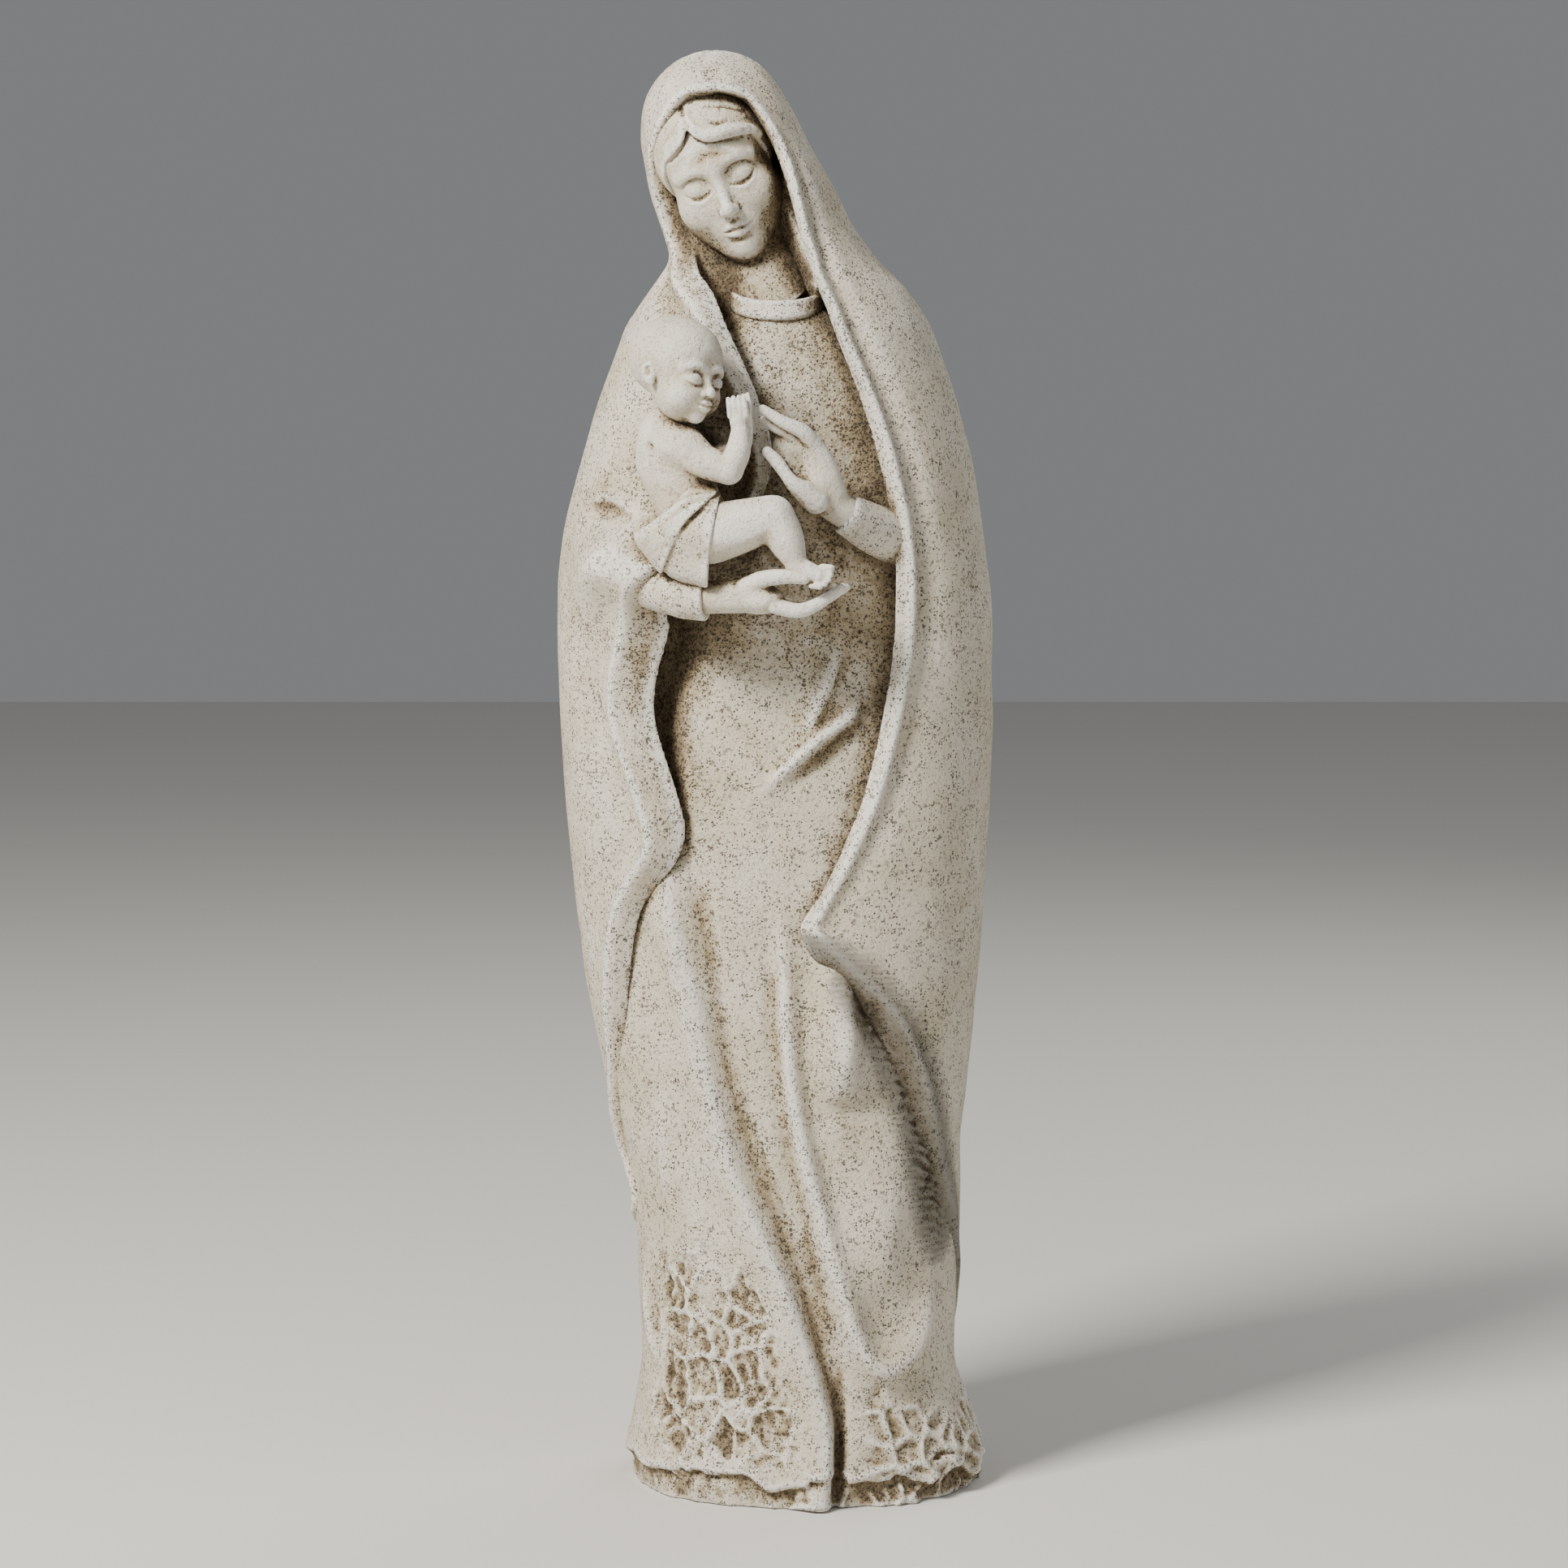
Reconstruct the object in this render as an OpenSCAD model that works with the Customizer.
// Standing mother-and-child garden figure, cast in resin-bonded stone.
// Hollow gown and cloak castings, with the head, hands and child cast apart
// and bonded on steel dowels. Millimetres, +Z up, the figure faces -Y, and the
// origin lies on the underside.

/* [Figure] */
// Height from the underside to the top of the hood
figure_h = 497; // [410:1:600]
// Width of the cloak at the elbows
figure_w = 152; // [126:1:184]
// Depth of the cloak at the elbows
figure_d = 108; // [92:1:130]

/* [Castings] */
// Wall of the cloak casting
cloak_wall = 6; // [5:0.5:6.5]
// Wall of the gown casting
gown_wall = 8; // [6:0.5:9.5]
// Glue line between two bonded castings
glue_gap = 0.25; // [0.2:0.05:0.4]

/* [Underside] */
// Thickness of the closing plate
plate_t = 8; // [6:0.5:12]
// Diameter of the ballast filling hole
fill_hole_d = 20; // [16:1:24]
// How far the plug's flange reaches past its hole
plug_lip = 3; // [2.5:0.5:5]
// Thickness of the plug's flange
plug_flange_t = 2.4; // [1.5:0.1:3]
// How far the plug's flange lies above the underside
plug_recess = 0.6; // [0.4:0.1:1]

/* [Dowels] */
// Diameter of the neck dowel
neck_dowel_d = 8; // [5:0.5:10]
// Length of the neck dowel
neck_dowel_l = 36; // [28:1:40]
// Diameter of the wrist dowels
wrist_dowel_d = 3; // [2:0.5:4]
// Length of the wrist dowels
wrist_dowel_l = 16; // [12:1:18]
// Diameter of the child's two dowels
child_dowel_d = 4; // [3:0.5:5]
// Length of the child's two dowels
child_dowel_l = 14; // [11:1:16]

/* [Hidden] */

// The tables below are drawn for a figure of this size, and scaled to the real one.
drawn_h = 497;
drawn_w = 152;
drawn_d = 108;
scale_x = figure_w / drawn_w;
scale_y = figure_d / drawn_d;
scale_z = figure_h / drawn_h;
scale_r = min(scale_x, scale_y, scale_z);

// Running clearance of the plug and of each dowel, on the radius
plug_fit = 0.05;
dowel_fit = 0.05;
// How far a dowel hole runs past its dowel
dowel_room = 0.3;
around = 40;     // corners in one ring of the cloak or gown
head_fn = 24;    // corners round a head, a limb and a finger
limb_fn = 14;
finger_fn = 8;
head_r = 14.5;   // anything rounder than this is drawn as finely as a head
finger_r = 4.5;  // anything thinner than this is drawn as coarsely as a finger
roundness = 0.9; // 1 is an ellipse, less is squarer
far = 200;

// Outline of the cloak: height, left, right, front, back
cloak_rings = [
    [0, -53, 75, -60, 52], [14, -52, 72, -57, 51], [29, -49, 67, -53, 50],
    [40, -47, 63, -51, 49], [73, -49, 65, -49, 49], [103, -51, 65, -48, 49],
    [119, -56, 65, -48, 49], [148, -61, 68, -48, 50], [177, -67, 71, -49, 51],
    [206, -70, 73, -50, 52], [234, -73, 75, -51, 53], [263, -75, 76, -52, 54],
    [291, -76, 76, -53, 55], [314, -76, 75, -53, 55], [336, -73, 72, -52, 55],
    [359, -67, 68, -50, 54], [381, -60, 62, -47, 52], [404, -52, 54, -44, 48],
    [415, -44, 47, -42, 46], [426, -36, 35, -42, 44], [437, -39, 27, -43, 42],
    [449, -43, 21, -45, 40], [460, -45, 15, -45, 38], [471, -46, 9, -43, 34],
    [482, -44, 3, -38, 27], [487, -40, -2, -33, 21], [493, -34, -7, -24, 11],
    [497, -25, -16, -12, -2]
];
// Outline of the gown: height, left, right, front, back
gown_rings = [
    [0, -53, 75, -60, 52], [14, -52, 72, -57, 51], [29, -49, 67, -53, 50],
    [40, -47, 63, -51, 49], [73, -48, 64, -47, 48], [103, -50, 64, -45, 48],
    [148, -60, 66, -43, 49], [206, -66, 69, -41, 50], [263, -69, 70, -38, 50],
    [314, -68, 68, -36, 50], [359, -60, 62, -36, 48], [381, -50, 53, -34, 44],
    [396, -36, 40, -30, 36], [405, -18, 21, -27, 16], [409, -14, 16, -24, 8]
];
// Edges of the cloak: height, left and right edge as angles from the front
cloak_edges = [
    [16, -172, 172], [20, -165, 162], [28, -150, 140], [40, -132, 115],
    [60, -116, 95], [83, -104, 78], [98, -97, 70], [117, -86, 61],
    [151, -70, 45], [171, -62, 32], [185, -56, 20], [199, -51, 8],
    [219, -38, 17], [231, -35, 21], [247, -39, 27], [267, -45, 30],
    [283, -46, 33], [305, -42, 36], [318, -35, 37], [326, -20, 36],
    [340, -4, 36], [370, -8, 31], [389, -18, 27], [406, -32, 22],
    [422, -62, 18], [432, -76, 24], [444, -78, 30], [457, -68, 36],
    [464, -56, 39], [471, -46, 36], [477, -30, 29], [482, -3, 3]
];

// Axis points of the parts that share dowels
neck_base = [0, -12, 405];
neck_top = [-6, -14, 428];
right_cuff = [-23, -62, 312];
right_wrist_way = [1, -0.25, 0.05];
left_cuff = [24, -52, 339];
left_wrist_way = [-1, -0.2, 0.65];
child_seats = [[-36, 356], [-36, 340]]; // across and up
fill_hole_at = [15, 7];

// Ridges on the front of the gown: across and up, and how round each one is
fold_main = [[-36, 226], [-32, 200], [-26, 174], [-20, 146], [-13, 119], [-3, 91],
             [8, 60], [15, 32], [17, 18]];
fold_sweep = [[1, 215], [3, 188], [5, 158], [9, 128], [16, 100], [23, 74], [31, 56],
              [41, 52], [49, 62], [53, 86]];
fold_hip = [[29, 273], [15, 263], [1, 251], [-7, 243]];
fold_knee = [[19, 178], [21, 160], [22, 144]];
fold_main_r = 14;
fold_sweep_r = 10;
fold_hip_r = 7;
fold_knee_r = 18;
fold_proud = 4;    // how far each ridge stands out of the gown
fold_hip_proud = 2;
fold_knee_proud = 6;

neck_way = neck_top - neck_base;
neck_stone = 4;    // solid stone left under the neck dowel
cloak_stone = 2;   // solid stone left behind the child's dowels
neck_r = 10.4;     // drawn radius of the neck inside the collar
collar_h = 6;
collar_low = 5.5;  // width of the collar band at its lower and upper edge
collar_high = 3.5;
gown_top = 409;    // drawn height of the gown's shoulders
cloak_low = 16;    // drawn height of the cloak's lowest hem
cloak_skirt = 250; // drawn heights between which figures are bonded to the cloak
cloak_neck = 420;
hair_low = 430;    // drawn height of the hair's lowest ends
edge_step = 5;     // drawn spacing of the rows down the cloak's edges
edge_top = cloak_edges[len(cloak_edges) - 1][0];
cut_from = 0.55;   // the opening's cut, as shares of the way out to the cloak
cut_to = 1.5;
cut_past = 4;      // how far cuts run past an outside surface
plug_flange_d = fill_hole_d + 2 * plug_lip;
plug_lead = 1.5;   // chamfer and length of the plug's end beyond the plate
plug_past = 2;

function place(p) = [p[0] * scale_x, p[1] * scale_y, p[2] * scale_z];
function rounded(v) = sign(v) * pow(abs(v), roundness);
function unit(v) = v / norm(v);
function lookup_at(rings, c, z) = lookup(z, [for (s = rings) [s[0], s[c]]]);

// Middle, half width and half depth of a table's outline at a drawn height
function middle(rings, z) = [
    (lookup_at(rings, 1, z) + lookup_at(rings, 2, z)) / 2,
    (lookup_at(rings, 3, z) + lookup_at(rings, 4, z)) / 2];
function half(rings, z) = [
    (lookup_at(rings, 2, z) - lookup_at(rings, 1, z)) / 2,
    (lookup_at(rings, 4, z) - lookup_at(rings, 3, z)) / 2];

// One ring of a table at a real height, drawn in by inset on every side
function ring(rings, z, inset) =
    let (m = middle(rings, z / scale_z),
         h = half(rings, z / scale_z),
         half_w = max(h[0] * scale_x - inset, 1),
         half_d = max(h[1] * scale_y - inset, 1))
    [for (i = [0:around - 1]) let (t = 360 * i / around)
        [m[0] * scale_x + half_w * rounded(sin(t)),
         m[1] * scale_y - half_d * rounded(cos(t)), z]];

// Closed solid through a list of rings that have the same number of corners
module skin(rows) {
    n = len(rows[0]);
    last = len(rows) - 1;
    sides = [for (j = [0:last - 1], i = [0:n - 1]) let (k = (i + 1) % n)
        each [[j * n + i, (j + 1) * n + i, (j + 1) * n + k],
              [j * n + i, (j + 1) * n + k, j * n + k]]];
    polyhedron(
        points = [for (r = rows) each r],
        faces = concat(sides, [[for (i = [0:n - 1]) i]],
                       [[for (i = [n - 1:-1:0]) last * n + i]]),
        convexity = 6);
}

// Solid inside a table's outline between two heights
module body(rings, inset, low, high) {
    heights = [for (s = rings) s[0] * scale_z];
    inner = [for (z = heights) if (z > low + 1 && z < high - 1) z];
    skin([for (z = concat([low], inner, [high])) ring(rings, z, inset)]);
}

// Distance out to an outline at a drawn height, in a direction from its front
function reach(rings, z, t) = let (h = half(rings, z), p = 2 / roundness)
    pow(pow(abs(sin(t)) / h[0], p) + pow(abs(cos(t)) / h[1], p), -1 / p);

// Drawn depth of an outline's front face at a drawn place across and up
function front(rings, x, z) = let (m = middle(rings, z), h = half(rings, z), p = 2 / roundness,
        across = min(abs(x - m[0]) / h[0], 1))
    m[1] - h[1] * pow(1 - pow(across, p), 1 / p);

// Everything in front of the cloak's edges, with each edge moved in by gap
module opening(gap) {
    heights = [for (z = cloak_low - 1; z < edge_top - 1; z = z + edge_step) z];
    skin([for (z = concat(heights, [edge_top]))
        let (m = middle(cloak_rings, z),
             from = lookup_at(cloak_edges, 1, z),
             to = lookup_at(cloak_edges, 2, z),
             a = from + atan(gap / reach(cloak_rings, z, from)),
             b = to - atan(gap / reach(cloak_rings, z, to)),
             steps = 12)
        [for (q = concat([[0, a], [cut_from, a]],
                         [for (i = [0:steps]) [cut_to, a + (b - a) * i / steps]],
                         [[cut_from, b]]))
            let (r = q[0] * reach(cloak_rings, z, q[1]))
            place([m[0] + r * sin(q[1]), m[1] - r * cos(q[1]), z])]]);
}

// Room that the cloak takes up, grown by gap towards its neighbours
module cloak_room(gap) {
    difference() {
        body(cloak_rings, -cut_past, cloak_low * scale_z - gap, figure_h);
        body(cloak_rings, cloak_wall + gap, 0, figure_h - cloak_wall - gap);
        opening(gap);
    }
}

// Keeps a free-form casting as one mesh, so that its dowel holes stay true
module casting() {
    resize([0, 0, 0]) children();
}

// Round limb between two places, with round ends, tapering from ra to rb
module limb(a, b, ra, rb, grow = 0) {
    p = place(a);
    q = place(b);
    w = unit(q - p);
    u = unit(cross(w, abs(w[2]) < 0.9 ? [0, 0, 1] : [1, 0, 0]));
    v = cross(w, u);
    n = ra > head_r ? head_fn : ra > finger_r ? limb_fn : finger_fn;
    skin([for (end = [[p, ra, -75], [q, rb, 15]], tip = [0:30:60])
        let (r = end[1] * scale_r + grow, t = end[2] + tip)
        [for (i = [0:n - 1]) let (s = 360 * i / n)
            end[0] + w * r * sin(t) + (u * sin(s) - v * cos(s)) * r * cos(t)]]);
}

// Limbs end to end through a list of [place, radius]
module chain(joints, grow = 0) {
    for (i = [0:len(joints) - 2])
        limb(joints[i][0], joints[i + 1][0], joints[i][1], joints[i + 1][1], grow);
}

// Turns +Z to a direction and moves to a place
module along(at, way) {
    v = unit(way);
    translate(at) rotate([0, acos(v[2]), atan2(v[1], v[0])]) children();
}

// Dowel of length l with its middle at a drawn place, and its hole
module dowel(at, way, d, l, room) {
    along(place(at), way)
        translate([0, 0, -l / 2 - room])
            cylinder(h = l + 2 * room, r = d / 2 + (room > 0 ? dowel_fit : 0), $fn = 32);
}

module neck_dowel_at(room) dowel(neck_base, neck_way, neck_dowel_d, neck_dowel_l, room);
module right_wrist_dowel_at(room) dowel(right_cuff, right_wrist_way, wrist_dowel_d, wrist_dowel_l, room);
module left_wrist_dowel_at(room) dowel(left_cuff, left_wrist_way, wrist_dowel_d, wrist_dowel_l, room);
module child_dowels_at(room) {
    for (s = child_seats) {
        deep = front(cloak_rings, s[0], s[1]) * scale_y + cloak_wall - cloak_stone;
        middle_at = [s[0], (deep - child_dowel_l / 2) / scale_y, s[1]];
        dowel(middle_at, [0, -1, 0], child_dowel_d, child_dowel_l, room);
    }
}

// Half space beyond a seat, for the flat end that a hand is bonded with
module beyond(at, way) {
    along(place(at), way) translate([-far, -far, 0]) cube([2 * far, 2 * far, far]);
}

// Gown and cloak, grown by the glue line
module mantle() {
    body(gown_rings, -glue_gap, 0, gown_top * scale_z + glue_gap);
    difference() {
        body(cloak_rings, -glue_gap, cloak_skirt * scale_z, cloak_neck * scale_z);
        opening(glue_gap);
    }
}

// Everything that the child and the head are bonded against
module ground() {
    mantle();
    drape_shape(glue_gap);
}

// Ridge of cloth of radius r that stands proud of an outline's front face
module fold(rings, points, r, proud) {
    chain([for (q = points) [[q[0], front(rings, q[0], q[1]) + r - proud, q[1]], r]]);
}

// Cloak gathered over the mother's right forearm, and hanging from it
module drape_shape(grow = 0) {
    chain([[[-54, -22, 337], 21], [[-47, -41, 321], 14], [[-55, -35, 288], 10]], grow);
}

module cloak_shape() {
    difference() {
        union() {
            difference() {
                body(cloak_rings, 0, cloak_low * scale_z, figure_h);
                opening(0);
            }
            drape_shape();
        }
        body(cloak_rings, cloak_wall, 0, figure_h - cloak_wall);
        right_sleeve_shape(glue_gap);
    }
}

module cloak() {
    color("linen") difference() {
        casting() cloak_shape();
        child_dowels_at(dowel_room);
    }
}

module plate_outline(inset) {
    polygon([for (p = ring(gown_rings, 0, gown_wall + inset)) [p[0], p[1]]]);
}

module gown() {
    color("antiquewhite") difference() {
        casting() difference() {
            union() {
                body(gown_rings, 0, 0, gown_top * scale_z);
                fold(gown_rings, fold_main, fold_main_r, fold_proud);
                fold(gown_rings, fold_sweep, fold_sweep_r, fold_proud);
                fold(gown_rings, fold_hip, fold_hip_r, fold_hip_proud);
                fold(gown_rings, fold_knee, fold_knee_r, fold_knee_proud);
            }
            // The cavity keeps its wall where the cloak is let into the gown
            body(gown_rings, gown_wall + cloak_wall, plate_t - 1,
                 neck_base[2] * scale_z - neck_dowel_l / 2 - neck_stone);
            translate([0, 0, -1]) linear_extrude(plate_t + 1) plate_outline(0);
            cloak_room(glue_gap);
        }
        neck_dowel_at(dowel_room);
    }
}

module base_plate() {
    color("gray") difference() {
        linear_extrude(plate_t - glue_gap) plate_outline(glue_gap);
        translate([fill_hole_at[0], fill_hole_at[1], -1]) {
            cylinder(h = plate_t + 2, d = fill_hole_d, $fn = 64);
            cylinder(h = 1 + plug_recess + plug_flange_t + glue_gap, d = plug_flange_d + 1, $fn = 64);
        }
    }
}

module fill_plug() {
    stem_r = fill_hole_d / 2 - plug_fit;
    stem_top = plate_t + plug_past;
    color("dimgray") translate([fill_hole_at[0], fill_hole_at[1], plug_recess])
        rotate_extrude($fn = 64) polygon([
            [0, 0], [plug_flange_d / 2, 0], [plug_flange_d / 2, plug_flange_t],
            [stem_r, plug_flange_t], [stem_r, stem_top - plug_past], [stem_r - plug_lead, stem_top],
            [0, stem_top]]);
}

module collar() {
    r = neck_r * scale_r;
    color("linen") casting() difference() {
        translate(place([-1, -14, 410])) rotate([20, 0, 0]) difference() {
            cylinder(h = collar_h, r1 = r + collar_low, r2 = r + collar_high, center = true, $fn = 48);
            cylinder(h = collar_h + 2, r = r + glue_gap, center = true, $fn = 48);
        }
        body(gown_rings, -glue_gap, 0, gown_top * scale_z + glue_gap);
        head_shape(glue_gap);
        cloak_room(glue_gap);
    }
}

module head_shape(grow = 0) {
    chain([[[-17, -12, 459], 20.5], [[-14.5, -19, 448], 18.5], [[-12, -25, 439], 14.5],
           [[-9.5, -31, 432], 8]], grow);
    limb(neck_base, neck_top, 9.6, 9.4, grow);
}

module head() {
    color("antiquewhite") difference() {
        casting() difference() {
            union() {
                head_shape();
                limb([-13, -36, 452], [-10.8, -41, 442.5], 2.2, 3);
            }
            ground();
            cloak_room(glue_gap);
        }
        neck_dowel_at(dowel_room);
    }
}

// Two waves of hair, parted in the middle, that fill the hood round the face
module hair() {
    color("linen") casting() difference() {
        intersection() {
            union() {
                chain([[[-19, -27, 470], 9], [[-31, -23, 462], 10], [[-34, -14, 449], 10]]);
                chain([[[-15, -27, 470], 9], [[-2, -23, 462], 10], [[4, -14, 447], 10]]);
            }
            body(cloak_rings, cloak_wall + glue_gap, hair_low * scale_z, figure_h);
        }
        head_shape(glue_gap);
    }
}

// Sleeve from inside the cloak to its cuff, which is cut square
module sleeve(from, to, way, r_from, r_to, grow = 0) {
    difference() {
        limb(from, to + unit(way) * 6, r_from, r_to, grow);
        translate(unit(way) * grow) beyond(to, way);
    }
}

module right_sleeve_shape(grow = 0) {
    sleeve([-46, -50, 318], right_cuff, right_wrist_way, 9, 7, grow);
}

module right_sleeve() {
    color("linen") difference() {
        casting() difference() {
            right_sleeve_shape();
            mantle();
        }
        right_wrist_dowel_at(dowel_room);
    }
}

module left_sleeve() {
    color("linen") difference() {
        casting() difference() {
            sleeve([47, -34, 332], left_cuff, left_wrist_way, 9, 6.8);
            mantle();
        }
        left_wrist_dowel_at(dowel_room);
    }
}

// Palm, four fingers side by side, each bent once, and a thumb
module hand_shape(wrist, palm, knuckles, middles, tips, thumb, grow = 0) {
    limb(wrist, palm, 5.2, 5.4, grow);
    hull() {
        limb(palm, knuckles[0], 5, 2.8, grow);
        limb(palm, knuckles[3], 5, 2.8, grow);
    }
    for (i = [0:3]) chain([[knuckles[i], 2.6], [middles[i], 2.3], [tips[i], 1.9]], grow);
    chain([[palm, 4], [thumb[0], 3], [thumb[1], 2.3]], grow);
}

module right_hand_shape(grow = 0) {
    hand_shape(right_cuff, [-9, -65, 312],
        [for (i = [0:3]) [0, -71 + 3.6 * i, 310.5]],
        [for (i = [0:3]) [9, -73 + 3.6 * i, 309]],
        [for (i = [0:3]) [20 - i, -74 + 3.6 * i, 315]],
        [[-4, -71, 316], [9, -75, 320]], grow);
}

module right_hand() {
    color("antiquewhite") difference() {
        casting() intersection() {
            difference() {
                right_hand_shape();
                ground();
            }
            beyond(right_cuff + unit(right_wrist_way) * glue_gap, right_wrist_way);
        }
        right_wrist_dowel_at(dowel_room);
    }
}

module left_hand_shape(grow = 0) {
    hand_shape(left_cuff, [13, -56, 350],
        [for (i = [0:3]) [12.6 - 2.7 * i, -61.5 + 3.4 * i, 359.3]],
        [for (i = [0:3]) [7.4 - 2.1 * i, -63.5 + 3.4 * i, 366.2]],
        [for (i = [0:3]) [-3.6 - i, -64.5 + 3.4 * i, 372.4]],
        [[5.4, -62.6, 349.4], [-2.4, -65.2, 360.2]], grow);
}

module left_hand() {
    color("antiquewhite") difference() {
        casting() intersection() {
            difference() {
                left_hand_shape();
                ground();
                child_right_leg_shape(glue_gap);
                child_right_arm_shape(glue_gap);
            }
            beyond(left_cuff + unit(left_wrist_way) * glue_gap, left_wrist_way);
        }
        left_wrist_dowel_at(dowel_room);
    }
}

module child_body_shape(grow = 0) {
    chain([[[-33, -55, 372], 6.5], [[-35, -53.5, 360], 12], [[-30, -54, 349], 11.5],
           [[-27, -55, 337], 12]], grow);
}

module child_body() {
    color("antiquewhite") difference() {
        casting() difference() {
            child_body_shape();
            ground();
            right_sleeve_shape(glue_gap);
        }
        child_dowels_at(dowel_room);
    }
}

module child_head_shape(grow = 0) {
    limb([-32, -57, 391], [-26.5, -62, 380], 15.4, 10, grow);
}

module child_head() {
    color("antiquewhite") casting() difference() {
        child_head_shape();
        ground();
        child_body_shape(glue_gap);
    }
}

module child_right_arm_shape(grow = 0) {
    chain([[[-33, -65, 363], 5.8], [[-14.5, -70, 355], 5], [[-11, -70, 367], 3.4],
           [[-12, -69, 376], 2.6]], grow);
}

module child_right_arm() {
    color("antiquewhite") casting() difference() {
        child_right_arm_shape();
        ground();
        child_body_shape(glue_gap);
        child_head_shape(glue_gap);
        child_wrap_shape(glue_gap);
    }
}

module child_left_arm() {
    color("antiquewhite") casting() difference() {
        chain([[[-20, -56, 358], 4.5], [[-14, -60, 366], 3.4], [[-13.5, -63, 376], 2.4]]);
        ground();
        child_body_shape(glue_gap);
        child_head_shape(glue_gap);
        child_right_arm_shape(glue_gap);
        child_wrap_shape(glue_gap);
    }
}

module child_right_leg_shape(grow = 0) {
    chain([[[-19, -66, 334], 9.5], [[0, -70, 340], 6.8], [[8, -71, 323], 3.6],
           [[17, -73, 319.5], 2.4]], grow);
}

module child_right_leg() {
    color("antiquewhite") casting() difference() {
        child_right_leg_shape();
        ground();
        child_body_shape(glue_gap);
        right_hand_shape(glue_gap);
    }
}

module child_wrap_shape(grow = 0) {
    hull() {
        limb([-36, -58, 334], [-20, -65, 342], 8, 6, grow);
        limb([-31, -60, 324], [-20, -67, 324], 6, 6, grow);
    }
}

module child_wrap() {
    color("linen") difference() {
        casting() difference() {
            child_wrap_shape();
            ground();
            child_body_shape(glue_gap);
            child_right_leg_shape(glue_gap);
            right_sleeve_shape(glue_gap);
            right_hand_shape(glue_gap);
        }
        child_dowels_at(dowel_room);
    }
}

module neck_dowel() {
    color("silver") neck_dowel_at(0);
}

module right_wrist_dowel() {
    color("silver") right_wrist_dowel_at(0);
}

module left_wrist_dowel() {
    color("silver") left_wrist_dowel_at(0);
}

module child_dowels() {
    color("silver") child_dowels_at(0);
}

cloak();
gown();
collar();
head();
hair();
right_sleeve();
right_hand();
left_sleeve();
left_hand();
child_head();
child_body();
child_right_arm();
child_left_arm();
child_right_leg();
child_wrap();
base_plate();
fill_plug();
neck_dowel();
right_wrist_dowel();
left_wrist_dowel();
child_dowels();
